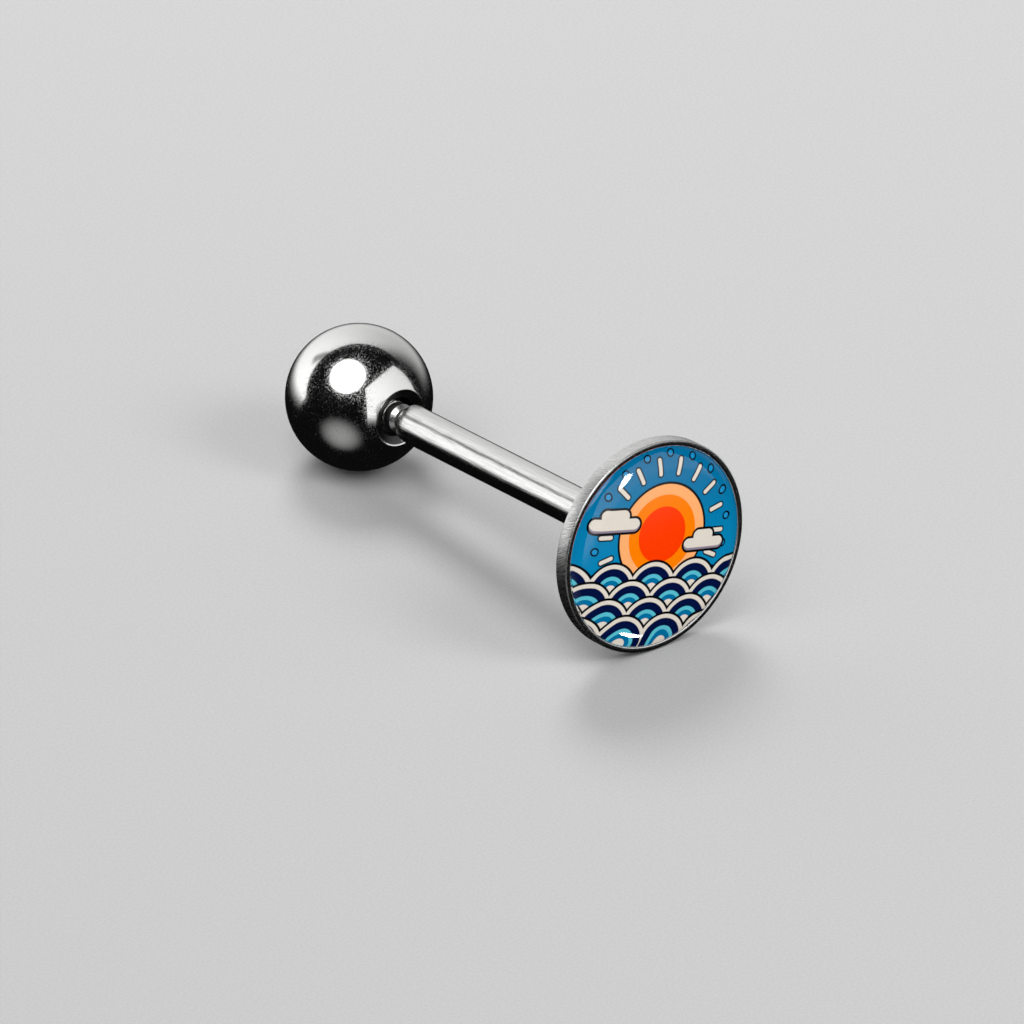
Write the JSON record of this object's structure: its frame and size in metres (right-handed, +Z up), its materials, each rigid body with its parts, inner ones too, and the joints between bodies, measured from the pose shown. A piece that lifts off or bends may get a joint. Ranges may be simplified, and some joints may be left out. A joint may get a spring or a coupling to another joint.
{
  "type": "tongue barbell",
  "caption": "Straight steel tongue barbell with a screw-on ball at one end and a shallow cup with a printed disc under a clear resin dome at the other.",
  "frame": {"origin": "centre of the base of the bounding box, on the surface that the barbell lies on", "axes": "+Z up; the printed disc faces -Y and slightly up, and the screw-on ball lies towards +Y"},
  "size_m": [0.0088, 0.0232, 0.0089],
  "materials": {
    "ball_steel": "mirror polished steel",
    "bar_steel": "polished steel, with fine turning marks on the cup's side",
    "print": "colour print",
    "resin": "clear gloss resin"
  },
  "bodies": {
    "screw_ball": {"ball": "ball_steel"},
    "bar": {"post_and_cup": "bar_steel", "picture_disc": "print", "clear_dome": "resin"}
  },
  "joints": [
    {"name": "bar_draws_out", "type": "slide", "parent": "screw_ball", "child": "bar", "axis": [0, -0.9971, 0.0763], "range_m": [0, 0.019]}
  ]
}
